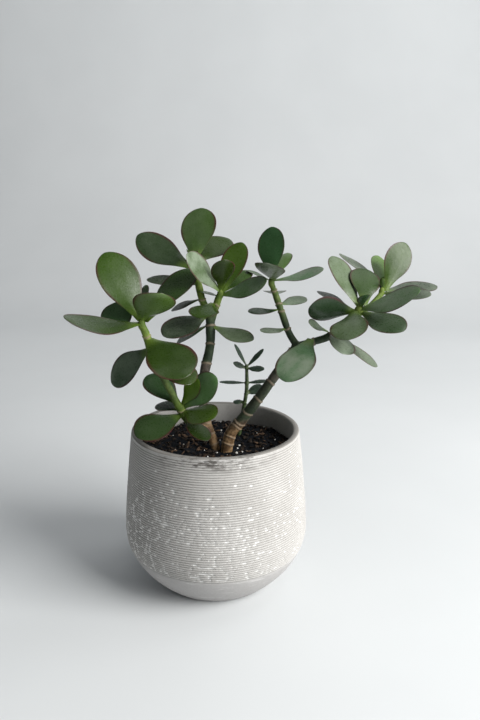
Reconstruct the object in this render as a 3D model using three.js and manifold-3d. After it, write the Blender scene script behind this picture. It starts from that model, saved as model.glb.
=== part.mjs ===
// Potted jade plant: a round ribbed planter filled with soil, two forked woody stems with fleshy
// paired leaves, and a small young sprout behind them. Millimetres, +Z up. The origin is the centre
// of the planter's flat base, -Y is the plant's front and +X its right.

import * as THREE from "three";
import { mergeVertices } from "three/addons/utils/BufferGeometryUtils.js";
import Module from "manifold-3d";

const wasm = await Module();
wasm.setup();

// Planter
const POT_HEIGHT = 123;
const BASE_RADIUS = 44;
const BELLY_RADIUS = 71;
const RIM_RADIUS = 64;
const WALL = 5;
const FLOOR = 8;
const ROUND_STEPS = 48;

// Soil
const SOIL_TOP = 109;
const SOIL_CROWN = 3;
const FIT = 0.3;

// Stems
const STEM_SIDES = 10;
const NODE_SWELL = 0.09;

// Leaves
const LEAF_RINGS = 9;
const LEAF_SIDES = 8;
const WIDEST_AT = 0.58;
const LEAF_THICKNESS = 0.14;

const POT_COLOR = 0x9c9a94;
const SOIL_COLOR = 0x1d1714;
const BARK_COLOR = 0x6b5a45;
const STEM_COLOR = 0x66803f;
const LEAF_COLOR = 0x4c7a3c;
const DARK_LEAF_COLOR = 0x2f5230;

const group = new THREE.Group();

// A closed mesh as a manifold solid, and a solid back as a geometry.
function toSolid(geometry) {
  geometry.deleteAttribute("normal");
  geometry.deleteAttribute("uv");
  const merged = mergeVertices(geometry, 1e-4);
  const vertProperties = new Float32Array(merged.attributes.position.array);
  const triVerts = new Uint32Array(merged.index.array);
  return new wasm.Manifold(new wasm.Mesh({ numProp: 3, vertProperties, triVerts }));
}

function toGeometry(solid) {
  const mesh = solid.getMesh();
  const geometry = new THREE.BufferGeometry();
  geometry.setAttribute("position", new THREE.BufferAttribute(mesh.vertProperties, 3));
  geometry.setIndex(new THREE.BufferAttribute(mesh.triVerts, 1));
  geometry.computeVertexNormals();
  return geometry;
}

function addPiece(name, geometry, color, roughness) {
  const material = new THREE.MeshStandardMaterial({ color, roughness, metalness: 0 });
  const mesh = new THREE.Mesh(geometry, material);
  mesh.name = name;
  group.add(mesh);
  return mesh;
}

// ---- Planter: one turned profile, a flat base, a belly that narrows to a rounded lip ----------

// Outer radius at a height: the foot sweeps out to the belly, then the side narrows to the rim.
function potRadius(z) {
  const bellyAt = 46;
  if (z < bellyAt) {
    const t = 1 - z / bellyAt;
    return BELLY_RADIUS - (BELLY_RADIUS - BASE_RADIUS) * t ** 2.1;
  }
  const t = (z - bellyAt) / (POT_HEIGHT - bellyAt);
  return BELLY_RADIUS - (BELLY_RADIUS - RIM_RADIUS) * t ** 1.35;
}

function potProfile() {
  const lip = 2;
  const points = [new THREE.Vector2(0, 0)];
  for (const z of [0, 5, 13, 22, 32, 46, 62, 78, 94, 108, POT_HEIGHT - lip]) {
    points.push(new THREE.Vector2(potRadius(z), z));
  }
  points.push(new THREE.Vector2(RIM_RADIUS - 1, POT_HEIGHT));
  points.push(new THREE.Vector2(RIM_RADIUS - WALL + 1, POT_HEIGHT));
  for (const z of [POT_HEIGHT - lip, 104, 84, 62, 46, 30, 18]) {
    points.push(new THREE.Vector2(potRadius(z) - WALL, z));
  }
  points.push(new THREE.Vector2(BASE_RADIUS, FLOOR + 1));
  points.push(new THREE.Vector2(BASE_RADIUS - 6, FLOOR));
  points.push(new THREE.Vector2(0, FLOOR));
  return points;
}

// A profile of (radius, height) points turned about +Z.
function turned(points) {
  return new THREE.LatheGeometry(points, ROUND_STEPS).rotateX(Math.PI / 2);
}

addPiece("pot", turned(potProfile()), POT_COLOR, 0.9);

// ---- Stems: round tubes along a curve, swollen at the nodes and tapering into the soil ---------

// One stem solid. Each stop is [x, y, z, radius]; the curve runs through the stops.
function stemSolid(stops, steps, nodes) {
  const curve = new THREE.CatmullRomCurve3(stops.map((s) => new THREE.Vector3(s[0], s[1], s[2])));
  const tube = new THREE.CylinderGeometry(1, 1, 1, STEM_SIDES, steps);
  const position = tube.attributes.position;
  const frames = curve.computeFrenetFrames(steps, false);
  const last = stops.length - 1;
  for (let i = 0; i < position.count; i += 1) {
    const t = 0.5 - position.getY(i);
    const step = Math.round(t * steps);
    const place = curve.getPointAt(t);
    const along = curve.getUtoTmapping(t, 0) * last;
    const k = Math.min(Math.floor(along), last - 1);
    let radius = THREE.MathUtils.lerp(stops[k][3], stops[k + 1][3], along - k);
    for (const node of nodes) {
      radius *= 1 + NODE_SWELL * Math.exp(-(((t - node) * steps) ** 2));
    }
    place.addScaledVector(frames.normals[step], position.getX(i) * radius);
    place.addScaledVector(frames.binormals[step], position.getZ(i) * radius);
    position.setXYZ(i, place.x, place.y, place.z);
  }
  const solid = toSolid(tube);
  return solid.volume() > 0 ? solid : toSolid(flipped(tube));
}

// The same mesh with every triangle turned over.
function flipped(geometry) {
  const index = geometry.index.array;
  for (let i = 0; i < index.length; i += 3) {
    const swap = index[i + 1];
    index[i + 1] = index[i + 2];
    index[i + 2] = swap;
  }
  return geometry;
}

function joined(solids) {
  return solids.reduce((whole, solid) => whole.add(solid));
}

// Left plant: a brown foot that turns green, forks at the top, and carries a low side shoot.
const LEFT_FOOT = [[-1, 0, 80, 2.2], [0, -4, 95, 3.4], [0, -6, 109, 3.6], [-4, -6, 121, 3.6]];
const leftTrunk = stemSolid(
  [...LEFT_FOOT, [-8, -6, 135, 3.5], [-9, -5, 158, 3.5], [-7, -5, 171, 3.7], [-4, -4, 184, 3.5],
    [-3, -3, 192, 3.5], [-3, -2, 201, 3.5], [-3, -2, 210, 3.3]],
  24, [0.62, 0.73, 0.93],
);
const leftForkBack = stemSolid(
  [[-3, -2, 204, 3], [-5, 0, 212, 3], [-9, 3, 221, 2.8], [-12, 6, 233, 2.6], [-15, 8, 246, 2.2]],
  10, [0.6],
);
const leftForkFront = stemSolid(
  [[-3, -2, 204, 3], [-1, -2, 211, 3], [2, -4, 220, 2.7], [4, -5, 226, 2.4]],
  7, [0.8],
);
const lowShoot = stemSolid(
  [[-4, -6, 121, 2.8], [-12, -11, 127, 2.7], [-20, -17, 134, 2.7], [-25, -20, 144, 2.9],
    [-31, -23, 158, 2.6], [-38, -27, 174, 2.7], [-44, -30, 190, 2.8], [-46, -30, 200, 2.9],
    [-49, -30, 208, 2.5]],
  22, [0.36, 0.8, 0.93],
);
const leftStem = joined([leftTrunk, leftForkBack, leftForkFront, lowShoot]);

// Right plant: a thick ringed trunk that leans right and forks into an upright and an arm.
const RIGHT_FOOT = [[6, -13, 78, 2.4], [7, -12, 94, 4.4], [9, -11, 111, 4.6], [12, -12, 123, 4.5]];
const rightTrunk = stemSolid(
  [...RIGHT_FOOT, [19, -13, 132, 4.2], [26, -13, 141, 3.9], [37, -14, 157, 3.6],
    [49, -15, 175, 3.4], [55, -16, 185, 3.3], [62, -16, 193, 3.2]],
  24, [0.42, 0.55, 0.66, 0.78],
);
const upright = stemSolid(
  [[60, -16, 191, 2.8], [55, -11, 198, 2.6], [50, -4, 211, 2.5], [45, 0, 225, 2.4], [42, 0, 233, 2.2]],
  12, [0.45, 0.75],
);
const arm = stemSolid(
  [[61, -16, 191, 2.8], [72, -16, 194, 2.8], [82, -15, 197, 2.8], [90, -14, 202, 2.8],
    [97, -13, 208, 2.8], [102, -12, 212, 2.5], [113, -6, 218, 2.1], [122, 2, 225, 2]],
  20, [0.33, 0.55, 0.7],
);
const rightStem = joined([rightTrunk, upright, arm]);

// Young sprout: a thin stem and its tiny leaves, all one soft piece.
const SPROUT_LEAVES = [
  [[24, 25, 165], -150, 60, -50, 22, 7],
  [[24, 25, 164], 10, 46, 30, 20, 6],
  [[24, 25, 163], -170, 25, -40, 12, 7],
  [[24, 25, 163], -20, 2, 30, 15, 8],
  [[24, 25, 151], 180, 2, -15, 22, 6],
  [[24, 25, 151], 0, 6, 15, 18, 7],
  [[24, 25, 142], 20, 20, 40, 15, 10],
  [[23, 26, 135], 180, -2, -30, 10, 6],
];

// ---- Leaves: thick, widest past the middle, round at the tip, with a sharp margin --------------

// Half width as a share of the full half width, at t from the base (0) to the tip (1).
function outline(t) {
  if (t < WIDEST_AT) {
    return 0.17 + 0.83 * Math.sin((Math.PI / 2) * (t / WIDEST_AT)) ** 1.25;
  }
  return (1 - ((t - WIDEST_AT) / (1 - WIDEST_AT)) ** 2.3) ** 0.6;
}

// A leaf along +X with its upper face to +Z; start is how far it stands off its stem's axis.
function leafGeometry(start, length, width, curl, cup) {
  const shape = new THREE.SphereGeometry(1, LEAF_SIDES, LEAF_RINGS);
  const position = shape.attributes.position;
  const thick = Math.min(5, Math.max(1.6, width * LEAF_THICKNESS));
  const reach = length - start;
  for (let i = 0; i < position.count; i += 1) {
    const polar = Math.acos(THREE.MathUtils.clamp(position.getY(i), -1, 1)) / Math.PI;
    const around = Math.atan2(position.getZ(i), position.getX(i));
    const t = 0.5 - 0.5 * Math.cos(Math.PI * polar ** 0.9);
    const end = Math.min(1, Math.sin(Math.PI * polar) * 3.2);
    const half = polar < 0.001 || polar > 0.999 ? 0 : (width / 2) * outline(t);
    const across = Math.cos(around);
    const up = Math.sin(around);
    const body = thick * (0.62 + 0.38 * Math.sin(Math.PI * t)) * end;
    const margin = 1 - 0.72 * across * across;
    const lift = up * body * (up > 0 ? 0.4 : 0.6) * margin;
    const bend = THREE.MathUtils.degToRad(curl) * (t * t - t) * reach * 0.5;
    const rise = cup * width * 0.5 * across * across * outline(t);
    position.setXYZ(i, start + reach * t, half * across, lift + bend + rise);
  }
  shape.deleteAttribute("uv");
  const closed = mergeVertices(shape, 1e-4);
  return closed;
}

// A leaf set on its stem: at is a point on the stem's axis, heading turns it about +Z from +X,
// rise tips its end up, and roll turns it about its own length.
function placeLeaf(mesh, at, heading, rise, roll) {
  const rad = THREE.MathUtils.degToRad;
  mesh.position.set(...at);
  mesh.rotation.set(rad(roll), -rad(rise), rad(heading), "ZYX");
  return mesh;
}

function leafSolid(start, line) {
  const [at, heading, rise, roll, length, width] = line;
  const mesh = placeLeaf(new THREE.Mesh(leafGeometry(start, length, width, 0, 0)), at, heading, rise, roll);
  mesh.updateMatrix();
  const shape = mesh.geometry.clone().applyMatrix4(mesh.matrix);
  return toSolid(shape);
}

const sproutStem = stemSolid(
  [[14, 24, 84, 0.8], [17, 25, 100, 1.6], [20, 26, 120, 1.7], [24, 25, 145, 1.6], [24, 25, 166, 1.3]],
  12, [0.85],
);
const sprout = joined([sproutStem, ...SPROUT_LEAVES.map((line) => leafSolid(0, line))]);

addPiece("left_stem", toGeometry(leftStem), BARK_COLOR, 0.7);
addPiece("right_stem", toGeometry(rightStem), BARK_COLOR, 0.7);
addPiece("back_sprout", toGeometry(sprout), STEM_COLOR, 0.6);

// Each shoot lists its leaves from the top down:
// [name, point on the stem, heading, rise, roll, length from the stem's axis, width, curl].
const SHOOTS = [
  {
    shoot: "leaf_low_top", start: 4.2, color: LEAF_COLOR,
    leaves: [
      ["back_left", [-50, -30, 212], 154, 58, -38, 54, 29, 0],
      ["behind_left", [-50, -30, 210], 150, 14, -52, 29, 26, 0],
      ["far_left", [-50, -30, 210], -141, 11, -20, 58, 27, 50],
      ["front_right", [-51, -30, 212], -50, 38, -20, 37, 30, 0],
      ["young", [-50, -30, 214], 86, 49, -40, 27, 13, 0],
      ["far_right", [-45, -30, 213], 46, 36, 5, 54, 27, 0],
      ["front_face", [-46, -30, 200], -49, -23, 16, 49, 35, 0],
      ["hanging_left", [-44, -30, 193], 163, -42, -57, 43, 24, 0],
      ["hanging_right", [-41, -30, 188], -44, -21, 4, 40, 27, 0],
    ],
  },
  {
    shoot: "leaf_low_whorl", start: 4, color: LEAF_COLOR,
    leaves: [
      ["front_left", [-24, -20, 140], -140, -12, -19, 40, 28, 0],
      ["back_left", [-25, -20, 147], 146, 30, -15, 36, 24, 0],
      ["upright", [-24, -20, 147], -17, 57, 69, 25, 15, 0],
      ["front_right", [-24, -20, 143], -42, 4, 23, 34, 24, 0],
      ["hanging_front", [-21, -20, 139], -57, -18, -3, 32, 17, 0],
      ["back_right", [-23, -20, 145], -14, 43, 48, 36, 26, 0],
      ["small_left", [-25, -20, 143], 149, 2, -15, 22, 14, 0],
    ],
  },
  {
    shoot: "leaf_left_stem", start: 4.2, color: DARK_LEAF_COLOR,
    leaves: [
      ["right", [-3, -2, 203], -27, -12, 20, 36, 17, 20],
      ["front", [-5, -2, 211], -142, -16, -20, 40, 25, 0],
      ["back", [-5, -2, 203], 167, -30, -21, 28, 15, 0],
    ],
  },
  {
    shoot: "leaf_left_front", start: 3.6, color: LEAF_COLOR,
    leaves: [
      ["up_left", [4, -5, 229], -138, 44, -66, 41, 20, 0],
      ["back_up", [6, -5, 228], 50, 57, 27, 41, 19, 0],
      ["young_up", [5, -5, 230], -79, 59, 8, 27, 18, 0],
      ["right", [5, -5, 226], -25, 19, 39, 38, 20, 30],
      ["back_right", [6, -5, 228], 40, 27, 9, 30, 17, 0],
      ["facing", [-1, -5, 220], -109, -12, -7, 28, 22, 0],
    ],
  },
  {
    shoot: "leaf_left_back", start: 3.6, color: LEAF_COLOR,
    leaves: [
      ["top", [-15, 8, 249], 80, 56, -6, 45, 28, 0],
      ["left", [-18, 8, 245], 157, 26, -45, 49, 24, 40],
      ["right", [-14, 8, 248], 47, 23, 21, 39, 24, 0],
      ["low_left", [-14, 8, 232], 161, 3, -26, 40, 14, 0],
      ["small_left", [-12, 4, 221], 155, -22, -27, 25, 12, 0],
    ],
  },
  {
    shoot: "leaf_upright", start: 4, color: DARK_LEAF_COLOR,
    leaves: [
      ["top", [42, 0, 237], 90, 59, -21, 42, 21, 0],
      ["facing", [43, 0, 236], -101, 28, -8, 34, 22, 0],
      ["right", [44, 0, 236], -31, 15, 29, 40, 14, 20],
      ["back_right", [44, 0, 238], 64, 33, -10, 29, 14, 0],
      ["back", [45, 0, 227], 90, -8, 0, 30, 18, 0],
      ["mid_right", [46, -2, 218], 33, 7, 17, 27, 13, 15],
      ["mid_left", [49, -2, 215], -150, 1, -13, 28, 12, 10],
      ["low_left", [54, -8, 202], -145, 2, -11, 25, 12, 20],
    ],
  },
  {
    shoot: "leaf_fork", start: 5.2, color: LEAF_COLOR,
    leaves: [
      ["front", [71, -16, 198], -126, -36, -6, 44, 29, 0],
    ],
  },
  {
    shoot: "leaf_arm", start: 4.5, color: LEAF_COLOR,
    leaves: [
      ["up_left", [104, -12, 218], 126, 50, 4, 45, 23, 0],
      ["round", [108, -12, 221], 81, 40, 20, 34, 24, 0],
      ["bud", [106, -12, 218], -93, 40, 20, 18, 10, 0],
      ["front_right", [105, -12, 217], -45, 21, 38, 51, 24, 20],
      ["low_right", [106, -12, 215], -52, -11, 21, 40, 24, 0],
      ["front_left", [101, -12, 216], -106, -20, 11, 40, 27, 0],
      ["left", [102, -12, 215], -159, 8, 61, 38, 22, 0],
      ["back_left", [99, -12, 217], 135, 17, -2, 33, 12, 0],
      ["hanging_front", [91, -13, 202], -94, -20, -24, 31, 21, 0],
      ["hanging_right", [86, -12, 197], 16, -34, 33, 45, 13, 0],
      ["small_left", [82, -14, 201], -146, 26, -42, 20, 10, 0],
    ],
  },
  {
    shoot: "leaf_arm_end", start: 3.6, color: LEAF_COLOR,
    leaves: [
      ["back_left", [124, 4, 231], 127, 24, 7, 50, 14, 0],
      ["top", [126, 4, 229], 42, 56, 56, 39, 21, 0],
      ["back_up", [123, 6, 230], 86, 37, 28, 34, 15, 0],
      ["far_right", [124, 4, 228], 16, 2, 19, 45, 18, 10],
      ["front_right", [124, 4, 226], -46, 4, 27, 40, 16, 0],
    ],
  },
];

for (const { shoot, start, color, leaves } of SHOOTS) {
  for (const [name, at, heading, rise, roll, length, width, curl] of leaves) {
    const geometry = leafGeometry(start, length, width, curl, 0.05);
    placeLeaf(addPiece(`${shoot}_${name}`, geometry, color, 0.4), at, heading, rise, roll);
  }
}

// ---- Soil: fills the planter inside its wall, a little crowned, with room for the buried stems --

function soilSolid() {
  const points = [new THREE.Vector2(0, FLOOR + FIT), new THREE.Vector2(BASE_RADIUS - 8, FLOOR + FIT)];
  for (const z of [18, 30, 46, 62, 84, 104]) {
    points.push(new THREE.Vector2(potRadius(z) - WALL - 2 * FIT, z + FIT));
  }
  points.push(new THREE.Vector2(potRadius(SOIL_TOP) - WALL - 2 * FIT, SOIL_TOP - SOIL_CROWN));
  points.push(new THREE.Vector2(42, SOIL_TOP - 0.5));
  points.push(new THREE.Vector2(20, SOIL_TOP));
  points.push(new THREE.Vector2(0, SOIL_TOP));
  return toSolid(turned(points));
}

// A stem's buried foot, a little larger all round, to cut its socket in the soil.
function socketSolid(stops, steps) {
  const wider = stops.map((s) => [s[0], s[1], s[2], s[3] + 2 * FIT]);
  wider[0][2] -= 1;
  return stemSolid(wider, steps, []);
}

const sockets = joined([
  socketSolid(LEFT_FOOT, 8),
  socketSolid(RIGHT_FOOT, 8),
  socketSolid([[14, 24, 84, 0.8], [17, 25, 100, 1.6], [20, 26, 120, 1.7]], 6),
]);
addPiece("potting_soil", toGeometry(soilSolid().subtract(sockets)), SOIL_COLOR, 1);

export default group;
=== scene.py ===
import math
import random

import bmesh
import bpy
import numpy as np
from mathutils import Euler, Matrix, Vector, noise


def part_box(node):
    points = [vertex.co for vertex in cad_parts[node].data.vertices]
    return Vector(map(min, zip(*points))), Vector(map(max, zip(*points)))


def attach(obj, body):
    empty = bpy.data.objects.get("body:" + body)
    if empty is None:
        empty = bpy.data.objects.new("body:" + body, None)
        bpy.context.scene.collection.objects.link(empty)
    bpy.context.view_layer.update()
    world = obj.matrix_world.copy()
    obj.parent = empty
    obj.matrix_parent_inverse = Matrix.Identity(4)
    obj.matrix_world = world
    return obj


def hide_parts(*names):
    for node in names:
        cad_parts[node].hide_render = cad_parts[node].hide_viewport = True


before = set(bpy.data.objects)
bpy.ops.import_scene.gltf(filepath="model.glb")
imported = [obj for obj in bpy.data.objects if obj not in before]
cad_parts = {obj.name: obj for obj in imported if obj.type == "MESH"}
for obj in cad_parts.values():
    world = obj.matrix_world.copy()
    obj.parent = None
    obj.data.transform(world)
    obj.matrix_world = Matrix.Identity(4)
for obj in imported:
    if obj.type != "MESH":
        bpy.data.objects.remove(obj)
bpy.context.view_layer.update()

# ---- Planter ---------------------------------------------------------------------------------
# A round pot of cast cement with a thick wall. The side is combed with fine level ribs from the
# lip down to the smooth foot band, and the ribs have chipped most in the lower half.

POT_WALL = 0.005
POT_FLOOR = 0.008
FOOT_RADIUS = 0.044
RIM_RADIUS = 0.064
BELLY_AT = 0.046
RIBS_FROM = 0.0305
RIB_COUNT = 52
RIB_DEPTH = 0.00058
LIP = 0.0013
POT_STEPS = 400
CRACK_CELL = (0.0085, 0.0085, 0.015)
CRACK_WIDTH = 0.08
CHIP_LENGTH = 0.0018
CHIP_SHARE = 0.10

pot_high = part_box("pot")[1]
pot_top, belly_radius = pot_high[2], pot_high[0]


def deselect():
    if bpy.context.object and bpy.context.object.mode != "OBJECT":
        bpy.ops.object.mode_set(mode="OBJECT")
    bpy.ops.object.select_all(action="DESELECT")


def pick(piece):
    deselect()
    piece.select_set(True)
    bpy.context.view_layer.objects.active = piece


def pot_radius(z):
    if z < BELLY_AT:
        return belly_radius - (belly_radius - FOOT_RADIUS) * (1 - z / BELLY_AT) ** 2.1
    return belly_radius - (belly_radius - RIM_RADIUS) * ((z - BELLY_AT) / (pot_top - BELLY_AT)) ** 1.35


def pot_section():
    section = [(0.0, 0.0), (FOOT_RADIUS - 0.012, 0.0), (FOOT_RADIUS - 0.001, 0.0)]
    for z in (0.0006, 0.002, 0.004, 0.007, 0.010, 0.013, 0.016, 0.019, 0.022, 0.025, 0.0275, 0.0298):
        section.append((pot_radius(z) - 0.0002, z))
    ribs_to = pot_top - LIP
    pitch = (ribs_to - RIBS_FROM) / RIB_COUNT
    for rib in range(RIB_COUNT):
        z = RIBS_FROM + rib * pitch
        for share, depth in ((0.0, 1.0), (0.25, 0.2), (0.52, 0.0), (0.80, 0.35)):
            at = z + share * pitch
            section.append((pot_radius(at) - depth * RIB_DEPTH, at))
    lip_out, lip_in = RIM_RADIUS + 0.0001, RIM_RADIUS - POT_WALL + 0.0004
    for middle, turns in ((lip_out - LIP, (0, 30, 60, 90)), (lip_in + LIP, (90, 120, 150, 180))):
        for turn in turns:
            a = math.radians(turn)
            section.append((middle + math.cos(a) * LIP, ribs_to + math.sin(a) * LIP))
    for z in (0.114, 0.107, 0.095, 0.076, 0.046, 0.022):
        section.append((pot_radius(z) - POT_WALL, z))
    section += [(FOOT_RADIUS, POT_FLOOR + 0.001), (FOOT_RADIUS - 0.006, POT_FLOOR), (0.0, POT_FLOOR)]
    return section


# The section is drawn by extruding one corner point to point, then spun round the axis.
section = pot_section()
deselect()
bpy.ops.mesh.primitive_plane_add(size=0.001)
pot = bpy.context.object
pot.name = "planter"
bpy.ops.object.mode_set(mode="EDIT")
shape = bmesh.from_edit_mesh(pot.data)
shape.verts.ensure_lookup_table()
bmesh.ops.delete(shape, geom=shape.verts[1:], context="VERTS")
shape.verts.ensure_lookup_table()
shape.verts[0].co = (0, 0, 0)
shape.verts[0].select = True
bmesh.update_edit_mesh(pot.data)
bpy.ops.mesh.select_mode(type="VERT")
bpy.ops.mesh.select_all(action="SELECT")
for (r0, z0), (r1, z1) in zip(section, section[1:]):
    bpy.ops.mesh.extrude_region_move(TRANSFORM_OT_translate={"value": (r1 - r0, 0, z1 - z0)})
bpy.ops.mesh.select_all(action="SELECT")
bpy.ops.mesh.spin(steps=POT_STEPS, angle=math.tau, center=(0, 0, 0), axis=(0, 0, 1))
bpy.ops.mesh.select_all(action="SELECT")
bpy.ops.mesh.remove_doubles(threshold=0.00002)
bpy.ops.mesh.normals_make_consistent(inside=False)
bpy.ops.object.mode_set(mode="OBJECT")


# The comb's crests are knocked off in single chips and along wandering cracks, mostly low down.
def hit_share(x, y, z):
    low = 1 - (z - RIBS_FROM) / (pot_top - RIBS_FROM)
    patch = noise.noise(Vector((x, y, z)) * 32) * 0.5 + 0.5
    wear_and_glint_share = min(1.0, max(0.0, (low - 0.12) / 0.5)) * min(1.0, 0.25 + 1.3 * patch)
    wear_and_glint_share *= 0.68 - 0.32 * x / belly_radius
    near, next_near = noise.voronoi(Vector([at / size for at, size in zip((x, y, z), CRACK_CELL)]))[0][:2]
    crack = max(0.0, 1 - (next_near - near) / CRACK_WIDTH) * wear_and_glint_share
    along = math.atan2(y, x) * belly_radius
    rib = math.floor((z - RIBS_FROM) / (pot_top - LIP - RIBS_FROM) * RIB_COUNT)
    knocked = noise.cell(Vector((along / CHIP_LENGTH + rib * 3.7, rib * 1.31, 4.5))) * 0.5 + 0.5
    chip = 1.0 if knocked < 0.006 + CHIP_SHARE * wear_and_glint_share else 0.0
    return min(1.0, max(chip, 1.5 * crack))


soil_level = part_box("potting_soil")[1][2]
groove, chipped, inside = [], [], []
for v in pot.data.vertices:
    radius = math.hypot(v.co.x, v.co.y)
    outer = pot_radius(v.co.z)
    on_ribs = RIBS_FROM < v.co.z < pot_top - LIP - 0.0002 and radius > outer - RIB_DEPTH * 1.5
    crest = min(1.0, max(0.0, 1 - (outer - radius) / RIB_DEPTH)) if on_ribs else 0.0
    hit = hit_share(*v.co) if on_ribs else 0.0
    groove.append(1 - crest if on_ribs else 0.0)
    inside.append(1.0 if radius < outer - POT_WALL * 0.6 and v.co.z > soil_level - 0.02 else 0.0)
    chipped.append(crest * hit)
    if on_ribs:
        uneven = 0.22 * noise.noise(v.co * 380)
        radius_now = radius - RIB_DEPTH * crest * (hit + uneven)
        v.co.x *= radius_now / radius
        v.co.y *= radius_now / radius
    else:
        v.co.x += 0.00012 * noise.noise(v.co * 160)
        v.co.y += 0.00012 * noise.noise(v.co * 160 + Vector((9, 0, 0)))


def set_attribute(piece, name, values):
    mark = piece.data.attributes.new(name, "FLOAT", "POINT")
    mark.data.foreach_set("value", np.clip(values, 0, 1).astype(float))


set_attribute(pot, "groove", groove)
set_attribute(pot, "chipped", chipped)
set_attribute(pot, "inside", inside)
pick(pot)
bpy.ops.object.shade_smooth_by_angle(angle=math.radians(50))


class Finish:
    """A material whose nodes are added with short calls."""

    def __init__(self, name, roughness):
        self.material = bpy.data.materials.new(name)
        self.material.use_nodes = True
        self.tree = self.material.node_tree
        self.shader = self.tree.nodes["Principled BSDF"]
        self.shader.inputs["Roughness"].default_value = roughness
        self.place = self.add("ShaderNodeTexCoord").outputs["Object"]

    def add(self, kind, inputs=None, **settings):
        node = self.tree.nodes.new(kind)
        for key, value in settings.items():
            setattr(node, key, value)
        for key, value in (inputs or {}).items():
            self.feed(node.inputs[key], value)
        return node

    def feed(self, socket, value):
        if isinstance(value, bpy.types.NodeSocket):
            self.tree.links.new(value, socket)
        else:
            socket.default_value = value

    def noise(self, scale, detail=4.0, rough=0.55, place=None):
        node = self.add("ShaderNodeTexNoise", {"Scale": scale, "Detail": detail, "Roughness": rough})
        self.feed(node.inputs["Vector"], place or self.place)
        return node.outputs["Fac"]

    def cells(self, scale):
        node = self.add("ShaderNodeTexVoronoi", {"Vector": self.place, "Scale": scale})
        return node.outputs["Distance"]

    def band(self, value, low, high, to_low=0.0, to_high=1.0):
        node = self.add("ShaderNodeMapRange", interpolation_type="SMOOTHSTEP")
        spans = {"From Min": low, "From Max": high, "To Min": to_low, "To Max": to_high}
        for key, number in spans.items():
            node.inputs[key].default_value = number
        self.feed(node.inputs["Value"], value)
        return node.outputs["Result"]

    def math(self, how, a, b):
        node = self.add("ShaderNodeMath", operation=how)
        self.feed(node.inputs[0], a)
        self.feed(node.inputs[1], b)
        return node.outputs[0]

    def mix(self, share, a, b, how="MIX"):
        node = self.add("ShaderNodeMix", data_type="RGBA", blend_type=how)
        self.feed(node.inputs["Factor"], share)
        self.feed(node.inputs["A"], a)
        self.feed(node.inputs["B"], b)
        return node.outputs["Result"]

    def attribute(self, name):
        return self.add("ShaderNodeAttribute", attribute_name=name).outputs["Fac"]

    def axis(self, name):
        return self.add("ShaderNodeSeparateXYZ", {"Vector": self.place}).outputs[name]

    def bump(self, height, strength, distance):
        node = self.add("ShaderNodeBump", {"Height": height, "Strength": strength, "Distance": distance})
        self.feed(self.shader.inputs["Normal"], node.outputs["Normal"])
        return node

    def color(self, value):
        self.feed(self.shader.inputs["Base Color"], value)


cement = Finish("combed_cement", 0.9)
height = cement.axis("Z")
cloudy = cement.noise(24, 5)
fine = cement.noise(520, 6, 0.7)
tint = cement.mix(cement.band(cloudy, 0.35, 0.68), (0.500, 0.488, 0.470, 1), (0.580, 0.570, 0.553, 1))
foot_band = cement.band(height, RIBS_FROM + 0.0002, RIBS_FROM - 0.0004)
tint = cement.mix(foot_band, tint, (0.440, 0.430, 0.425, 1))
# Painted shade: the grooves between the ribs are darkened in colour, deeper than the shade their own
# depth casts.
groove_painted_shade = cement.math("MULTIPLY", cement.attribute("groove"), 0.80)
tint = cement.mix(groove_painted_shade, tint, (0.215, 0.205, 0.190, 1))
tint = cement.mix(cement.band(fine, 0.36, 0.66, 0.0, 0.25), tint, (0.30, 0.29, 0.27, 1))
pits = cement.math("MULTIPLY", cement.band(cement.cells(900), 0.16, 0.05, 0.0, 0.6),
                   cement.band(cement.noise(160), 0.45, 0.6))
tint = cement.mix(pits, tint, (0.13, 0.125, 0.115, 1))
# Painted highlight: chipped crests are lightened almost to white, standing in for light catching the
# broken facets.
chip_painted_highlight = cement.band(cement.attribute("chipped"), 0.25, 0.7, 0.0, 0.80)
tint = cement.mix(chip_painted_highlight, tint, (0.80, 0.795, 0.78, 1))
# Painted highlight: white flecks on the ribs, more of them lower down, stand in for glints on small
# chips.
wear_and_glint_share = cement.band(height, 0.105, 0.045)
along_foot = cement.add("ShaderNodeMapping", {"Vector": cement.place, "Scale": (1, 1, 9)})
scuff = cement.band(cement.noise(45, 7, 0.7, along_foot.outputs["Vector"]), 0.56, 0.68, 0.0, 0.55)
tint = cement.mix(cement.math("MULTIPLY", scuff, foot_band), tint, (0.70, 0.69, 0.68, 1))
fleck_painted_highlights = cement.math("MULTIPLY", cement.band(cement.cells(420), 0.20, 0.10),
                     cement.math("MULTIPLY", wear_and_glint_share, cement.band(cement.noise(90), 0.48, 0.60)))
fleck_painted_highlights = cement.math("MULTIPLY", fleck_painted_highlights, cement.band(height, RIBS_FROM - 0.001, RIBS_FROM + 0.002))
tint = cement.mix(fleck_painted_highlights, tint, (0.80, 0.795, 0.78, 1))
near_lip = cement.band(height, 0.1105, 0.1190)
worn_rim = cement.band(height, pot_top - 0.0011, pot_top - 0.0004, 0.0, 0.80)
tint = cement.mix(worn_rim, tint, (0.175, 0.165, 0.150, 1))
damp_inside = cement.math("MULTIPLY", cement.attribute("inside"), 0.30)
tint = cement.mix(damp_inside, tint, (0.075, 0.072, 0.068, 1))
front = cement.band(cement.axis("Y"), -0.048, -0.062)
along_lip = cement.add("ShaderNodeMapping", {"Vector": cement.place, "Scale": (1, 1, 2.6)})
smudge = cement.math("MULTIPLY", near_lip,
                     cement.band(cement.noise(75, 8, 0.75, along_lip.outputs["Vector"]),
                                 0.45, 0.60, 0.0, 0.9))
tint = cement.mix(cement.math("MULTIPLY", smudge, front), tint, (0.055, 0.047, 0.040, 1))
stain = cement.math("MULTIPLY", cement.band(cement.noise(75, 5), 0.56, 0.68),
                    cement.band(height, 0.113, 0.118))
tint = cement.mix(cement.math("MULTIPLY", stain, 0.2), tint, (0.15, 0.14, 0.13, 1))
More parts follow.
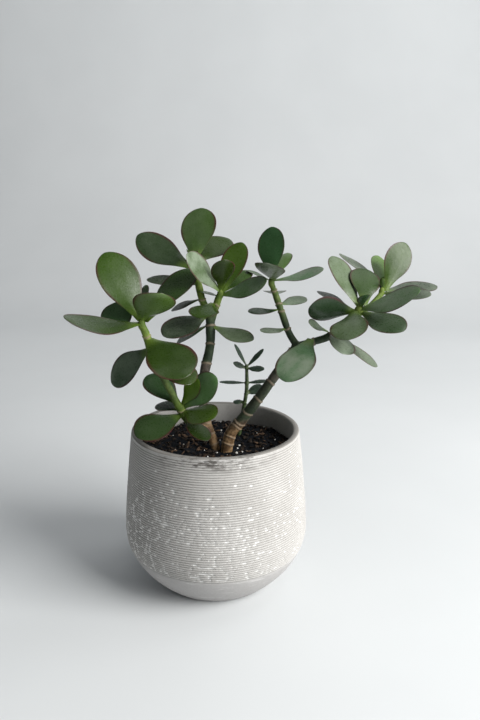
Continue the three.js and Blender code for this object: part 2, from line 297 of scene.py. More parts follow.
cement.color(tint)
cement.bump(cement.math("ADD", fine, cement.math("MULTIPLY", pits, -0.8)), 0.5, 0.0003)
pot.data.materials.append(cement.material)
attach(pot, "root")
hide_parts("pot")

# ---- Soil ------------------------------------------------------------------------------------
# Dark, open potting mix filled to a finger below the rim. The surface is lumpy, with crumbs,
# shreds of brown bark and white grit lying loose on it.

random.seed(7)
soil_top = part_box("potting_soil")[1][2]
soil_radius = pot_radius(soil_top) - POT_WALL - 0.0004
SOIL_RINGS = 46

deselect()
bpy.ops.mesh.primitive_cylinder_add(vertices=144, radius=soil_radius, depth=0.030,
                                    location=(0, 0, soil_top - 0.015), end_fill_type="NGON")
soil = bpy.context.object
soil.name = "soil_bed"
bpy.ops.object.transform_apply(location=True, rotation=True, scale=True)
bpy.ops.object.mode_set(mode="EDIT")
bpy.ops.mesh.select_mode(type="FACE")
bpy.ops.mesh.select_all(action="DESELECT")
shape = bmesh.from_edit_mesh(soil.data)
for face in shape.faces:
    face.select = face.normal.z > 0.9
bmesh.update_edit_mesh(soil.data)
for ring in range(SOIL_RINGS - 1):
    bpy.ops.mesh.inset(thickness=soil_radius / SOIL_RINGS * 0.985)
bpy.ops.mesh.poke()
bpy.ops.object.mode_set(mode="OBJECT")


def soil_height(x, y):
    p = Vector((x, y, 0.0))
    lumps = (noise.noise(p * 70) * 0.0019 + noise.noise(p * 190) * 0.0013
             + abs(noise.noise(p * 420)) * 0.0013)
    edge = max(0.0, (math.hypot(x, y) - soil_radius * 0.86) / soil_radius)
    return soil_top - 0.0015 + lumps - edge * 0.012


for v in soil.data.vertices:
    if v.co.z > soil_top - 0.001:
        v.co.z = soil_height(v.co.x, v.co.y)
pick(soil)
bpy.ops.object.shade_smooth()
bpy.ops.object.mode_set(mode="EDIT")
bpy.ops.mesh.select_all(action="SELECT")
bpy.ops.mesh.normals_make_consistent(inside=False)
bpy.ops.object.mode_set(mode="OBJECT")
mix = Finish("potting_mix", 0.95)
mix.shader.inputs["Specular IOR Level"].default_value = 0.12
grain = mix.noise(260, 8, 0.7)
damp = mix.noise(30, 3)
tint = mix.mix(mix.band(grain, 0.38, 0.66), (0.003, 0.004, 0.006, 1), (0.015, 0.016, 0.019, 1))
tint = mix.mix(mix.band(damp, 0.4, 0.65, 0.0, 0.6), tint, (0.003, 0.005, 0.008, 1))
specks = mix.band(mix.cells(520), 0.20, 0.10)
fibre = mix.math("MULTIPLY", specks, mix.band(mix.noise(200), 0.56, 0.66))
tint = mix.mix(fibre, tint, (0.13, 0.10, 0.075, 1))
mix.color(tint)
mix.bump(grain, 0.9, 0.0012)
soil.data.materials.append(mix.material)
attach(soil, "root")
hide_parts("potting_soil")

stem_feet = [(0.0, -0.006, 0.0042), (0.009, -0.011, 0.0054), (0.0175, 0.0255, 0.0022)]


def loose_spot(margin):
    while True:
        a, r = random.uniform(0, math.tau), (soil_radius - margin) * math.sqrt(random.random())
        x, y = r * math.cos(a), r * math.sin(a)
        if all(math.hypot(x - fx, y - fy) > fr + margin for fx, fy, fr in stem_feet):
            return x, y


# One lump is modelled, then copied about the bed and joined into one loose layer.
def scatter(name, lump, count, sizes, squash, sink, finish):
    template = np.array([v.co[:] for v in lump.data.vertices])
    faces = [list(p.vertices) for p in lump.data.polygons]
    verts, polys = [], []
    for _ in range(count):
        size = random.uniform(*sizes) * random.choice((1.0, 1.0, 1.35))
        stretch = np.array([random.uniform(*s) for s in squash]) * size
        turn = Euler([random.uniform(0, math.tau) if k == 2 else random.uniform(-0.5, 0.5)
                      for k in range(3)]).to_matrix()
        x, y = loose_spot(size * 0.6)
        jitter = np.array([[random.uniform(0.8, 1.2)] * 3 for _ in range(len(template))])
        body = (template * jitter * stretch) @ np.array(turn).T
        low = body[:, 2].min()
        body += np.array([x, y, soil_height(x, y) - low - sink * (body[:, 2].max() - low)])
        polys += [[i + len(verts) for i in f] for f in faces]
        verts += [tuple(p) for p in body]
    mesh = bpy.data.meshes.new(name)
    mesh.from_pydata(verts, [], polys)
    layer = bpy.data.objects.new(name, mesh)
    bpy.context.scene.collection.objects.link(layer)
    mesh.materials.append(finish)
    bpy.data.objects.remove(lump)
    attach(layer, "root")
    return layer


def lump(subdivisions):
    deselect()
    bpy.ops.mesh.primitive_ico_sphere_add(subdivisions=subdivisions, radius=0.5)
    return bpy.context.object


crumb = Finish("soil_crumb", 0.95)
crumb.shader.inputs["Specular IOR Level"].default_value = 0.12
crumb.color(crumb.mix(crumb.band(crumb.noise(300, 5), 0.4, 0.62),
                      (0.004, 0.0035, 0.0035, 1), (0.036, 0.027, 0.021, 1)))
crumb.bump(crumb.noise(900, 4), 0.6, 0.0004)
scatter("soil_crumbs", lump(2), 620, (0.0012, 0.0030),
        ((0.8, 1.3), (0.7, 1.1), (0.5, 0.9)), 0.35, crumb.material)

bark = Finish("bark_shred", 0.85)
bark.shader.inputs["Specular IOR Level"].default_value = 0.2
bark.color(bark.mix(bark.band(bark.noise(240, 5), 0.35, 0.65),
                    (0.030, 0.018, 0.011, 1), (0.13, 0.080, 0.050, 1)))
bark.bump(bark.noise(700, 4), 0.7, 0.0004)
scatter("bark_shreds", lump(1), 150, (0.0022, 0.0052),
        ((0.9, 1.6), (0.35, 0.6), (0.15, 0.32)), 0.15, bark.material)

grit = Finish("white_grit", 0.8)
grit.color(grit.mix(grit.band(grit.noise(500, 4), 0.4, 0.6),
                    (0.62, 0.60, 0.56, 1), (0.85, 0.84, 0.80, 1)))
grit.bump(grit.noise(1500, 3), 0.5, 0.0002)
scatter("grit_grains", lump(1), 60, (0.0007, 0.0017),
        ((0.8, 1.2), (0.8, 1.2), (0.6, 1.0)), 0.3, grit.material)

# ---- Stems -----------------------------------------------------------------------------------
# Two forked woody stems and one young sprout. The old wood is brown and ringed with leaf scars,
# each ring a raised collar, and it turns green above, soft and yellow-green at the tips.

# Each collar, by stem: its middle on the stem's axis and the way the stem runs there.
COLLARS = {
    "left_stem": [
        ((-0.001, -0.006, 0.112), (-0.2, 0, 1)), ((-0.0035, -0.006, 0.120), (-0.35, 0, 1)),
        ((-0.006, -0.006, 0.129), (-0.2, 0, 1)), ((-0.0085, -0.0055, 0.145), (-0.05, 0.05, 1)),
        ((-0.009, -0.005, 0.158), (0.05, 0.05, 1)), ((-0.006, -0.0048, 0.1755), (0.22, 0.05, 1)),
        ((-0.0035, -0.0035, 0.190), (0.1, 0.1, 1)), ((-0.003, -0.002, 0.2035), (0, 0, 1)),
        ((-0.025, -0.020, 0.143), (-0.35, -0.2, 1)), ((-0.044, -0.030, 0.191), (-0.3, -0.2, 1)),
        ((-0.046, -0.030, 0.201), (-0.2, 0, 1)), ((0.0015, -0.004, 0.219), (0.35, -0.1, 1)),
        ((-0.009, 0.0025, 0.221), (-0.3, 0.3, 1)), ((-0.0145, 0.0075, 0.242), (-0.2, 0.15, 1)),
    ],
    "right_stem": [
        ((0.0095, -0.0112, 0.1145), (0.2, 0, 1)), ((0.0112, -0.0118, 0.1205), (0.4, 0, 1)),
        ((0.0165, -0.013, 0.1285), (0.65, 0, 1)), ((0.0185, -0.013, 0.1312), (0.65, 0, 1)),
        ((0.0245, -0.013, 0.139), (0.68, 0, 1)), ((0.0323, -0.0136, 0.150), (0.7, 0, 1)),
        ((0.0412, -0.0143, 0.1635), (0.68, 0, 1)), ((0.0565, -0.016, 0.187), (0.7, 0, 1)),
        ((0.0535, -0.009, 0.2015), (-0.4, 0.4, 1)), ((0.049, -0.003, 0.2135), (-0.4, 0.3, 1)),
        ((0.0472, -0.0015, 0.219), (-0.4, 0.2, 1)), ((0.0437, 0, 0.2285), (-0.3, 0, 1)),
        ((0.072, -0.016, 0.194), (1, 0, 0.25)), ((0.084, -0.0148, 0.198), (1, 0, 0.5)),
        ((0.0985, -0.0128, 0.2092), (0.75, 0.1, 0.7)),
    ],
    "back_sprout": [
        ((0.0225, 0.0253, 0.134), (0.1, 0, 1)), ((0.0238, 0.025, 0.142), (0.1, 0, 1)),
        ((0.024, 0.025, 0.151), (0, 0, 1)), ((0.024, 0.025, 0.163), (0, 0, 1)),
    ],
}
COLLAR_RISE = {"left_stem": 0.00042, "right_stem": 0.00050, "back_sprout": 0.00022}
VOXEL = {"left_stem": 0.00060, "right_stem": 0.00060, "back_sprout": 0.00042}

# Each growing tip: the middle, half width and half height of the soft bud that ends the shoot.
GROWING_TIPS = {
    "left_stem": [
        ((-0.0497, -0.030, 0.2095), 0.0027, 0.0046), ((-0.0155, 0.0078, 0.2468), 0.0023, 0.0040),
        ((0.0046, -0.005, 0.2268), 0.0024, 0.0040), ((-0.0242, -0.0200, 0.1440), 0.0034, 0.0040),
    ],
    "right_stem": [
        ((0.0417, 0, 0.2345), 0.0025, 0.0042), ((0.1040, -0.0118, 0.2155), 0.0032, 0.0042),
        ((0.1230, 0.0030, 0.2270), 0.0023, 0.0038),
    ],
    "back_sprout": [],
}


# The CAD stem is copied, merged and grown over as one skin, so each fork is a smooth crotch.
def stem_skin(node, name):
    deselect()
    piece = bpy.data.objects.new(name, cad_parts[node].data.copy())
    bpy.context.scene.collection.objects.link(piece)
    piece.data.materials.clear()
    for middle, half_width, half_height in GROWING_TIPS[node]:
        deselect()
        bpy.ops.mesh.primitive_uv_sphere_add(segments=24, ring_count=16, radius=1, location=middle,
                                             scale=(half_width, half_width, half_height))
        bpy.ops.object.transform_apply(location=True, rotation=True, scale=True)
        piece.select_set(True)
        bpy.context.view_layer.objects.active = piece
        bpy.ops.object.join()
    pick(piece)
    bpy.ops.object.mode_set(mode="EDIT")
    bpy.ops.mesh.select_all(action="SELECT")
    bpy.ops.mesh.remove_doubles(threshold=0.00002)
    bpy.ops.object.mode_set(mode="OBJECT")
    remesh = piece.modifiers.new("skin", "REMESH")
    remesh.mode = "VOXEL"
    remesh.voxel_size = VOXEL[node]
    bpy.ops.object.modifier_apply(modifier="skin")
    smooth = piece.modifiers.new("ease", "SMOOTH")
    smooth.factor = 0.6
    smooth.iterations = 5
    bpy.ops.object.modifier_apply(modifier="ease")
    return piece


def raise_collars(piece, node):
    count = len(piece.data.vertices)
    place = np.empty(count * 3)
    piece.data.vertices.foreach_get("co", place)
    place = place.reshape(-1, 3)
    scar = np.zeros(count)
    rise = COLLAR_RISE[node]
    for middle, way in COLLARS[node]:
        way = np.array(Vector(way).normalized())
        arm = place - np.array(middle)
        along = arm @ way
        out = arm - np.outer(along, way)
        reach = np.linalg.norm(out, axis=1)
        near = (reach < 0.0085) & (np.abs(along) < 0.004)
        ragged = 0.0005 * np.sin(np.arctan2(out[:, 1], out[:, 0]) * 2 + middle[2] * 900)
        ridge = np.exp(-((along + ragged) / 0.00055) ** 2)
        lift = ridge - 0.6 * np.exp(-((along + ragged - 0.0012) / 0.0005) ** 2)
        lift[~near] = 0
        place += out / np.maximum(reach, 1e-6)[:, None] * (lift * rise)[:, None]
        scar = np.maximum(scar, np.where(near, np.exp(-((along + ragged) / 0.0007) ** 2), 0))
    piece.data.vertices.foreach_set("co", place.ravel())
    mark = piece.data.attributes.new("scar", "FLOAT", "POINT")
    mark.data.foreach_set("value", scar)
    return place


def ramp(values, low, high):
    t = np.clip((values - low) / (high - low), 0, 1)
    return t * t * (3 - 2 * t)


left_stem = stem_skin("left_stem", "left_plant_stem")
place = raise_collars(left_stem, "left_stem")
on_shoot = ramp(-place[:, 0] - 0.08 * (place[:, 2] - 0.12), 0.0115, 0.0165) * (place[:, 2] > 0.118)
set_attribute(left_stem, "wood", (1 - ramp(place[:, 2], 0.1745, 0.1775)) * (1 - on_shoot))
set_attribute(left_stem, "foot", 1 - ramp(place[:, 2], 0.120, 0.140))
at_whorl = 0.45 * (1 - ramp(np.abs(place[:, 2] - 0.143), 0.004, 0.013)) * on_shoot
set_attribute(left_stem, "young", np.maximum(ramp(place[:, 2], 0.205, 0.225), 0.45 * on_shoot + at_whorl
                                              + 0.6 * ramp(place[:, 2], 0.18, 0.205) * on_shoot))
left_place = place

right_stem = stem_skin("right_stem", "right_plant_stem")
place = raise_collars(right_stem, "right_stem")
dark_bark = ramp(place[:, 2], 0.160, 0.168) * (1 - ramp(place[:, 2], 0.182, 0.194))
set_attribute(right_stem, "wood", np.maximum(1 - 0.75 * ramp(place[:, 2], 0.130, 0.137), 0.8 * dark_bark)
              * (1 - ramp(place[:, 2], 0.186, 0.196)))
set_attribute(right_stem, "foot", 1 - ramp(place[:, 2], 0.124, 0.137))
set_attribute(right_stem, "young", np.maximum(ramp(place[:, 2], 0.200, 0.232) * 0.7,
                                               ramp(place[:, 0], 0.094, 0.106)))
right_place = place

sprout = stem_skin("back_sprout", "sprout")
place = raise_collars(sprout, "back_sprout")
stalk_x = np.interp(place[:, 2], (0.10, 0.145), (0.017, 0.024))
off_axis = np.hypot(place[:, 0] - stalk_x, place[:, 1] - 0.0252)
set_attribute(sprout, "leafy", ramp(off_axis, 0.0022, 0.0042))

bark_finish = Finish("jade_bark", 0.66)
bark_finish.shader.inputs["Specular IOR Level"].default_value = 0.3
wood = bark_finish.attribute("wood")
young = bark_finish.attribute("young")
scar = bark_finish.attribute("scar")
streak = bark_finish.noise(170, 6, 0.65)
patch = bark_finish.noise(70, 4)
fresh = bark_finish.mix(bark_finish.band(streak, 0.38, 0.66),
                        (0.012, 0.024, 0.011, 1), (0.032, 0.050, 0.023, 1))
tip = bark_finish.mix(bark_finish.band(streak, 0.4, 0.64),
                      (0.075, 0.125, 0.016, 1), (0.150, 0.205, 0.034, 1))
fresh = bark_finish.mix(young, fresh, tip)
old = bark_finish.mix(bark_finish.band(streak, 0.36, 0.64),
                      (0.030, 0.024, 0.021, 1), (0.095, 0.078, 0.062, 1))
warm = bark_finish.mix(bark_finish.band(streak, 0.36, 0.64),
                       (0.105, 0.060, 0.028, 1), (0.350, 0.225, 0.115, 1))
green_old = bark_finish.mix(bark_finish.band(streak, 0.36, 0.64),
                            (0.013, 0.020, 0.012, 1), (0.042, 0.052, 0.031, 1))
old = bark_finish.mix(bark_finish.band(patch, 0.48, 0.60, 0.0, 0.8), old, green_old)
old = bark_finish.mix(bark_finish.attribute("foot"), old, warm)
tint = bark_finish.mix(wood, fresh, old)
tint = bark_finish.mix(bark_finish.math("MULTIPLY", scar, 0.75), tint, (0.250, 0.195, 0.140, 1))
bark_finish.color(tint)
crust = bark_finish.math("MULTIPLY", streak, bark_finish.math("ADD", wood, 0.3))
bark_finish.bump(crust, 0.8, 0.0007)
for stem, node in ((left_stem, "left_stem"), (right_stem, "right_stem")):
    stem.data.materials.append(bark_finish.material)
    pick(stem)
    bpy.ops.object.shade_smooth()
    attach(stem, "root")
    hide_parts(node)

sprout_finish = Finish("sprout_green", 0.5)
leafy = sprout_finish.attribute("leafy")
mottle = sprout_finish.noise(380, 4)
stalk = sprout_finish.mix(sprout_finish.band(mottle, 0.4, 0.62),
                          (0.030, 0.055, 0.018, 1), (0.070, 0.100, 0.034, 1))
blade = sprout_finish.mix(sprout_finish.band(mottle, 0.4, 0.62),
                          (0.016, 0.034, 0.020, 1), (0.040, 0.068, 0.042, 1))
sprout_finish.color(sprout_finish.mix(leafy, stalk, blade))
sprout_finish.bump(mottle, 0.3, 0.0003)
sprout.data.materials.append(sprout_finish.material)
pick(sprout)
bpy.ops.object.shade_smooth()
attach(sprout, "root")
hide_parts("back_sprout")

# ---- Leaves ----------------------------------------------------------------------------------
# Thick, waxy, spoon-shaped leaves in crossed pairs. Each has a thin reddish margin, a faint
# middle groove, pale pin-prick pores and a short yellow-green foot that clasps the stem.

WIDEST_AT = 0.58
LEAF_ROUND = 32
LEAF_RINGS = 30


def outline(t):
    if t < WIDEST_AT:
        return 0.17 + 0.83 * math.sin(math.pi / 2 * t / WIDEST_AT) ** 1.25
    return (1 - ((t - WIDEST_AT) / (1 - WIDEST_AT)) ** 2.3) ** 0.6


# One leaf is modelled 1 long, 1 wide and 1 thick: a ball flattened to a lens across, then each
# of its rings is drawn in or out to the outline.
deselect()
bpy.ops.mesh.primitive_uv_sphere_add(segments=LEAF_ROUND, ring_count=LEAF_RINGS, radius=0.5,
                                     rotation=(0, math.pi / 2, 0), location=(0.5, 0, 0))
pattern = bpy.context.object
bpy.ops.object.transform_apply(location=True, rotation=True, scale=True)
bpy.ops.object.mode_set(mode="EDIT")
bpy.ops.mesh.select_mode(type="VERT")


def choose(test):
    shape = bmesh.from_edit_mesh(pattern.data)
    for v in shape.verts:
        v.select = test(v.co)
    shape.select_flush_mode()
    bmesh.update_edit_mesh(pattern.data)


def lens(angle):
    return 1 - 0.72 * math.cos(angle) ** 2


for step in range(1, LEAF_ROUND // 4 + 1):
    angle = math.tau * step / LEAF_ROUND
    choose(lambda c: math.hypot(c.y, c.z) > 0.01
           and abs(math.atan2(abs(c.z), abs(c.y)) - angle) < 0.02)
    bpy.ops.transform.resize(value=(1, 1, lens(angle)), center_override=(0, 0, 0))
for ring in range(1, LEAF_RINGS):
    x = 0.5 - 0.5 * math.cos(math.pi * ring / LEAF_RINGS)
    ball = math.sqrt(x * (1 - x))
    wide = 0.5 * outline(x) / ball
    thick = 0.5 * (0.62 + 0.38 * math.sin(math.pi * x)) * min(1.0, 3.2 * ball) / ball
    choose(lambda c: abs(c.x - x) < 0.002)
    bpy.ops.transform.resize(value=(1, wide, thick), center_override=(x, 0, 0))
choose(lambda c: abs(c.y) < 0.004 and c.z > 0.05 and 0.04 < c.x < 0.66)
bpy.ops.transform.translate(value=(0, 0, -0.035))
bpy.ops.object.mode_set(mode="OBJECT")
pattern_place = np.array([v.co[:] for v in pattern.data.vertices])
half = np.array([max(0.5 * outline(min(max(x, 0.0), 1.0)), 1e-3) for x in pattern_place[:, 0]])
across = np.clip(np.abs(pattern_place[:, 1]) / half, 0, 1)
across[pattern_place[:, 0] > 0.9985] = 1.0
stems_place = np.concatenate([left_place, right_place])


# A CAD leaf's own measures: foot, long, wide and upper-face directions, length, width and sag. The
# two corners farthest apart are taken as foot and tip, which a nearly round leaf can upset.
def leaf_measures(node):
    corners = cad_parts[node].data.vertices
    place = np.unique(np.round(np.array([v.co[:] for v in corners]), 6), axis=0)
    spread = np.linalg.norm(place[:, None] - place[None], axis=2)
    i, j = np.unravel_index(spread.argmax(), spread.shape)
    foot, tip = place[i], place[j]

    def girth(end, other):
        way = (other - end) / np.linalg.norm(other - end)
        along = (place - end) @ way
        near = place[along < 0.3 * along.max()] - end
        return np.linalg.norm(near - np.outer(near @ way, way), axis=1).max()

    if girth(foot, tip) > girth(tip, foot):
        foot, tip = tip, foot
    long = np.linalg.norm(tip - foot)
    way = (tip - foot) / long
    arm = place - foot
    side = arm - np.outer(arm @ way, way)
    _, _, axes = np.linalg.svd(side - side.mean(axis=0))
    wide_way = axes[0] - way * (axes[0] @ way)
    wide_way /= np.linalg.norm(wide_way)
    up_way = np.cross(way, wide_way)
    y, z, x = arm @ wide_way, arm @ up_way, arm @ way / long
    middle = (x > 0.4) & (x < 0.8)
    rim = middle & (np.abs(y) > 0.85 * np.abs(y[middle]).max())
    core = middle & (np.abs(y) < 0.2 * np.abs(y).max())
    if z[rim].mean() < z[core].mean():
        up_way, wide_way, z, y = -up_way, -wide_way, -z, -y
    wide = y.max() - y.min()
    sag = -z[core].mean() - 0.1 * min(0.005, max(0.0016, wide * 0.14))
    return foot, way, wide_way, up_way, long, wide, max(0.0, sag)


# Each leaf's tone (0 blue-green, 1 yellow-green), paleness (0 darkest, 1 palest), which paints the light
# or shade on that leaf as well as its own colour, and painted sheen, a whitish film for gloss highlights.
LOOKS = {
    "leaf_low_top": {
        "back_left": (0.8, 0.20, 0.00), "behind_left": (0.2, 0.30, 0.10),
        "far_left": (0.8, 0.10, 0.00), "front_right": (0.9, 0.30, 0.15), "young": (0.6, 0.20, 0.00),
        "far_right": (0.6, 0.20, 0.00), "front_face": (0.8, 0.10, 0.00),
        "hanging_left": (0.0, 0.15, 0.45), "hanging_right": (1.0, 0.10, 0.10)},
    "leaf_low_whorl": {
        "front_left": (0.5, 0.10, 0.05), "back_left": (0.2, 0.10, 0.00), "upright": (1.0, 0.50, 0.00),
        "front_right": (1.0, 0.20, 0.00), "hanging_front": (0.8, 0.05, 0.00),
        "back_right": (0.3, 0.65, 0.25), "small_left": (0.0, 0.05, 0.00)},
    "leaf_left_stem": {
        "right": (0.7, 0.10, 0.35), "front": (0.2, 0.00, 0.30), "back": (0.3, 0.15, 0.10)},
    "leaf_left_front": {
        "up_left": (0.7, 0.20, 0.90), "back_up": (0.9, 0.20, 0.00), "young_up": (1.0, 0.05, 0.00),
        "right": (0.3, 0.45, 0.40), "back_right": (0.7, 0.35, 0.05), "facing": (0.8, 0.15, 0.00)},
    "leaf_left_back": {
        "top": (0.7, 0.25, 0.15), "left": (0.4, 0.05, 0.10), "right": (0.9, 0.10, 0.10),
        "low_left": (0.7, 0.10, 0.25), "small_left": (0.9, 0.00, 0.00)},
    "leaf_upright": {
        "top": (0.0, 0.20, 0.00), "facing": (0.9, 0.05, 0.60), "right": (0.0, 1.00, 1.00),
        "back_right": (0.8, 0.75, 0.60), "back": (0.6, 0.15, 0.15), "mid_right": (0.0, 0.30, 1.00),
        "mid_left": (0.1, 0.00, 0.05), "low_left": (0.4, 0.10, 0.45)},
    "leaf_fork": {
        "front": (0.0, 0.55, 0.95)},
    "leaf_arm": {
        "up_left": (0.8, 0.20, 0.55), "round": (0.6, 0.15, 0.05), "bud": (0.1, 0.20, 0.05),
        "front_right": (0.4, 0.70, 0.65), "low_right": (0.2, 0.10, 0.20),
        "front_left": (0.7, 0.20, 0.45), "left": (0.0, 0.05, 0.05), "back_left": (0.2, 0.05, 0.10),
        "hanging_front": (0.0, 0.05, 0.75), "hanging_right": (0.9, 0.00, 0.60),
        "small_left": (0.1, 0.00, 0.40)},
    "leaf_arm_end": {
        "back_left": (0.7, 0.10, 0.60), "top": (0.8, 0.20, 0.00), "back_up": (0.8, 0.90, 0.35),
        "far_right": (0.0, 0.00, 0.60), "front_right": (0.2, 0.05, 0.80)},
}

leaf_finish = Finish("jade_leaf", 0.38)
leaf_finish.shader.inputs["Specular IOR Level"].default_value = 0.24
leaf_finish.shader.inputs["Coat Weight"].default_value = 0.10
leaf_finish.shader.inputs["Coat Roughness"].default_value = 0.18
broad = leaf_finish.noise(85, 4)
mealy = leaf_finish.noise(700, 3)
uneven = leaf_finish.band(broad, 0.32, 0.68)
blue_green = leaf_finish.mix(uneven, (0.050, 0.150, 0.042, 1), (0.066, 0.185, 0.062, 1))
yellow_green = leaf_finish.mix(uneven, (0.078, 0.160, 0.008, 1), (0.105, 0.200, 0.016, 1))
tint = leaf_finish.mix(leaf_finish.attribute("tone"), blue_green, yellow_green)
# Painted light and shade: each leaf's paleness scales its colour, partly its own tone and partly the
# light or shade falling on that leaf.
paleness_and_light = leaf_finish.add("ShaderNodeMapRange",
                       {"Value": leaf_finish.attribute("paleness_and_light"), "To Min": 0.10, "To Max": 1.35})
shade = leaf_finish.add("ShaderNodeCombineXYZ")
for axis in "XYZ":
    leaf_finish.feed(shade.inputs[axis], paleness_and_light.outputs["Result"])
tint = leaf_finish.mix(1.0, tint, shade.outputs["Vector"], "MULTIPLY")
# Painted sheen: a whitish film in patches, stronger on some leaves, stands in for gloss highlights.
sheen_patches = leaf_finish.math("MULTIPLY", leaf_finish.attribute("painted_sheen"),
                        leaf_finish.band(leaf_finish.noise(60, 5, 0.62), 0.30, 0.68, 0.25, 0.95))
tint = leaf_finish.mix(sheen_patches, tint, (0.225, 0.270, 0.200, 1))
pin_pores = leaf_finish.band(leaf_finish.cells(1150), 0.20, 0.08)
tint = leaf_finish.mix(leaf_finish.math("MULTIPLY", pin_pores, 0.16), tint, (0.20, 0.27, 0.12, 1))
tint = leaf_finish.mix(leaf_finish.math("MULTIPLY", leaf_finish.attribute("foot"), 0.65), tint,
                       (0.115, 0.185, 0.026, 1))
blush = leaf_finish.math("MULTIPLY", leaf_finish.attribute("rim"),
                         leaf_finish.band(leaf_finish.noise(55, 3), 0.35, 0.58, 0.35, 1.0))
tint = leaf_finish.mix(blush, tint, (0.052, 0.011, 0.014, 1))
leaf_finish.color(tint)
leaf_finish.feed(leaf_finish.shader.inputs["Roughness"], leaf_finish.band(mealy, 0.3, 0.7, 0.24, 0.44))
relief = leaf_finish.math("ADD", leaf_finish.math("MULTIPLY", mealy, 0.5),
                          leaf_finish.math("MULTIPLY", pin_pores, 0.8))
leaf_finish.bump(relief, 0.45, 0.00035)


LEAF_THICKNESS = 0.14
THINNEST, THICKEST = 0.0012, 0.005
FARTHEST_REACH = 0.007
REACH_INTO_STEM = 0.0012
FOOT_SHARE = 0.22
TWIST_DEGREES = 9


# A pattern leaf sized, cupped, twisted and waved, with its foot drawn back towards the nearest stem.
def grow_leaf(name, foot, way, wide_way, up_way, long, wide, sag, look):
    thick = min(THICKEST, max(THINNEST, wide * LEAF_THICKNESS))
    to_stem = np.linalg.norm(stems_place - foot, axis=1).min()
    reach_back = min(FARTHEST_REACH, to_stem + REACH_INTO_STEM)
    twist = math.radians(random.uniform(-TWIST_DEGREES, TWIST_DEGREES))
    wave, phase = random.uniform(0.008, 0.020) * wide, random.uniform(0, math.tau)
    lean = random.uniform(-0.030, 0.030) * wide
    x, y, z = pattern_place.T
    px = x * long - reach_back * np.clip(1 - x / FOOT_SHARE, 0, 1) ** 1.6
    py = y * wide + lean * np.sin(math.pi * x)
    pz = z * thick * np.where(z > 0, 0.85, 1.15)
    pz += 0.055 * wide * (2 * y) ** 2 - 4 * sag * (x - x * x)
    pz += wave * np.sin(x * 7 + phase + np.sign(y) * 0.9) * np.abs(2 * y)
    turn = twist * (x - 0.45)
    py, pz = py * np.cos(turn) - pz * np.sin(turn), py * np.sin(turn) + pz * np.cos(turn)
    place = foot + np.outer(px, way) + np.outer(py, wide_way) + np.outer(pz, up_way)
    piece = bpy.data.objects.new(name, pattern.data.copy())
    bpy.context.scene.collection.objects.link(piece)
    piece.data.vertices.foreach_set("co", place.ravel())
    piece.data.materials.append(leaf_finish.material)
    piece.data.polygons.foreach_set("use_smooth", np.ones(len(piece.data.polygons), dtype=bool))
    set_attribute(piece, "rim", ramp(across, 0.875, 0.955) * ramp(x, 0.10, 0.40))
    set_attribute(piece, "foot", 1 - ramp(x, 0.02, 0.20))
    for quality, amount in zip(("tone", "paleness_and_light", "painted_sheen"), look):
        set_attribute(piece, quality, np.full(len(x), amount))
    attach(piece, "root")
    return piece


for shoot, looks in LOOKS.items():
    for leaf, look in looks.items():
        node = f"{shoot}_{leaf}"
        grown = grow_leaf(node.replace("leaf", "blade", 1), *leaf_measures(node), look)
        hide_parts(node)

# The smallest leaves, which the CAD has no node for: a pair folded at each growing tip, with its
# foot, heading and length, and two half hidden ones, with foot, heading, rise, length and width.
TIP_PAIRS = {
    "low_top": ((-0.0500, -0.0300, 0.2125), 80, 0.0085),
    "low_whorl": ((-0.0240, -0.0205, 0.1465), 20, 0.0080),
    "left_back": ((-0.0158, 0.0080, 0.2495), 10, 0.0095),
    "left_front": ((0.0050, -0.0050, 0.2295), 60, 0.0070),
    "upright": ((0.0418, 0.0, 0.2375), 0, 0.0080),
    "arm": ((0.1055, -0.0118, 0.2185), 30, 0.0065),
    "arm_end": ((0.1236, 0.0036, 0.2296), 75, 0.0090),
}
STRAY_LEAVES = {
    "left_front_behind": ((0.0035, -0.0010, 0.2245), 165, 12, 0.0160, 0.0075),
    "upright_behind": ((0.0395, 0.0040, 0.2360), 155, 20, 0.0180, 0.0085),
}


def small_leaf(name, foot, heading, rise, long, wide, look):
    turn = Euler((0, -math.radians(rise), math.radians(heading)), "XYZ").to_matrix()
    way, wide_way, up_way = (np.array(turn.col[k]) for k in range(3))
    return grow_leaf(name, np.array(foot), way, wide_way, up_way, long, wide, 0.0, look)


for tip_name, (foot, heading, long) in TIP_PAIRS.items():
    for side, turned in (("a", heading), ("b", heading + 180)):
        small_leaf(f"bud_{tip_name}_{side}", foot, turned, 62, long, long * 0.5, (0.9, 0.40, 0.1))
for stray, (foot, heading, rise, long, wide) in STRAY_LEAVES.items():
    small_leaf(f"blade_{stray}", foot, heading, rise, long, wide, (0.4, 0.22, 0.2))
bpy.data.objects.remove(pattern)

# ---- Floor, light and camera -----------------------------------------------------------------
# A plain pale sweep for a floor, a broad soft window-like light from the right, and an even fill.

SWEEP_AT = 1.0
SWEEP_RADIUS = 0.7

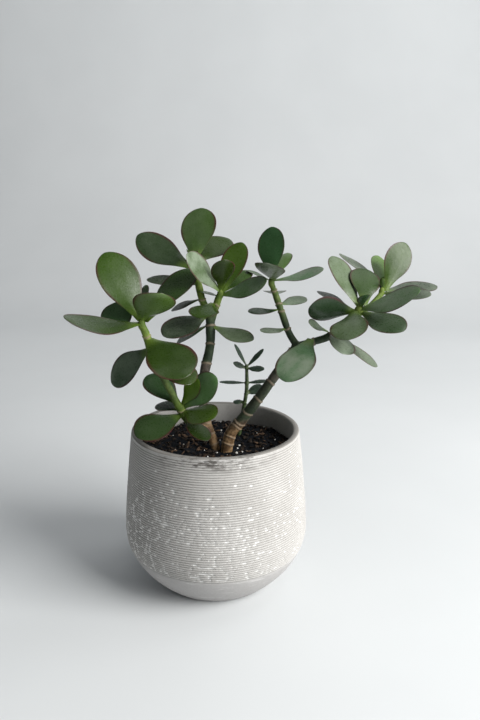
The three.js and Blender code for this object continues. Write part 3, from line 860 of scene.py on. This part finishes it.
deselect()
bpy.ops.mesh.primitive_plane_add(size=2, location=(0, (SWEEP_AT - 5) / 2, -0.0002), scale=(1, 1, 1))
floor = bpy.context.object
floor.name = "floor"
floor.scale = (5, (SWEEP_AT + 5) / 2, 1)
bpy.ops.object.transform_apply(location=True, rotation=True, scale=True)
bpy.ops.object.mode_set(mode="EDIT")
bpy.ops.mesh.select_mode(type="EDGE")
bpy.ops.mesh.select_all(action="DESELECT")
shape = bmesh.from_edit_mesh(floor.data)
for edge in shape.edges:
    edge.select = all(v.co.y > SWEEP_AT - 0.01 for v in edge.verts)
bmesh.update_edit_mesh(floor.data)
SWEEP_STEPS = 24
for step in range(SWEEP_STEPS):
    a, b = (math.pi / 2 * k / SWEEP_STEPS for k in (step, step + 1))
    move = (0, SWEEP_RADIUS * (math.sin(b) - math.sin(a)), SWEEP_RADIUS * (math.cos(a) - math.cos(b)))
    bpy.ops.mesh.extrude_region_move(TRANSFORM_OT_translate={"value": move})
bpy.ops.mesh.extrude_region_move(TRANSFORM_OT_translate={"value": (0, 0, 3)})
bpy.ops.object.mode_set(mode="OBJECT")
bpy.ops.object.shade_smooth()
pale_floor = Finish("pale_floor", 0.75)
pale_floor.color(pale_floor.mix(pale_floor.band(pale_floor.noise(3, 3), 0.3, 0.7), (0.64, 0.66, 0.67, 1),
                                (0.67, 0.69, 0.70, 1)))
floor.data.materials.append(pale_floor.material)


def soft_light(name, size, energy, place, aim, color=(1, 1, 1)):
    light = bpy.data.lights.new(name, "AREA")
    light.shape = "RECTANGLE"
    light.size, light.size_y = size
    light.energy = energy
    light.color = color
    lamp = bpy.data.objects.new(name, light)
    lamp.location = place
    lamp.rotation_euler = (Vector(aim) - Vector(place)).to_track_quat("-Z", "Y").to_euler()
    bpy.context.scene.collection.objects.link(lamp)


soft_light("window_light", (1.1, 1.2), 52, (1.31, -0.70, 0.92), (0, 0, 0.14), (1.0, 0.99, 0.97))
soft_light("sweep_light", (2.0, 1.0), 12, (0.9, 0.5, 2.0), (0.2, 1.6, 0.5))

world = bpy.data.worlds.new("studio")
bpy.context.scene.world = world
world.use_nodes = True
world_nodes, world_links = world.node_tree.nodes, world.node_tree.links
fill = world_nodes["Background"]
fill.inputs["Color"].default_value = (0.94, 0.97, 1.0, 1)
fill.inputs["Strength"].default_value = 0.20
backdrop = world_nodes.new("ShaderNodeBackground")
backdrop.inputs["Color"].default_value = (0.62, 0.64, 0.65, 1)
seen = world_nodes.new("ShaderNodeLightPath")
chosen = world_nodes.new("ShaderNodeMixShader")
world_links.new(seen.outputs["Is Camera Ray"], chosen.inputs["Fac"])
world_links.new(fill.outputs["Background"], chosen.inputs[1])
world_links.new(backdrop.outputs["Background"], chosen.inputs[2])
world_links.new(chosen.outputs["Shader"], world_nodes["World Output"].inputs["Surface"])
bpy.context.scene.view_settings.view_transform = "Standard"

lens_data = bpy.data.cameras.new("camera")
lens_data.lens = 35
lens_data.sensor_width = 36
lens_data.clip_start = 0.01
camera = bpy.data.objects.new("camera", lens_data)
camera.location = (0.0188, -0.508, 0.3075)
camera.rotation_euler = (math.radians(75.5), 0, 0)
bpy.context.scene.collection.objects.link(camera)
bpy.context.scene.camera = camera
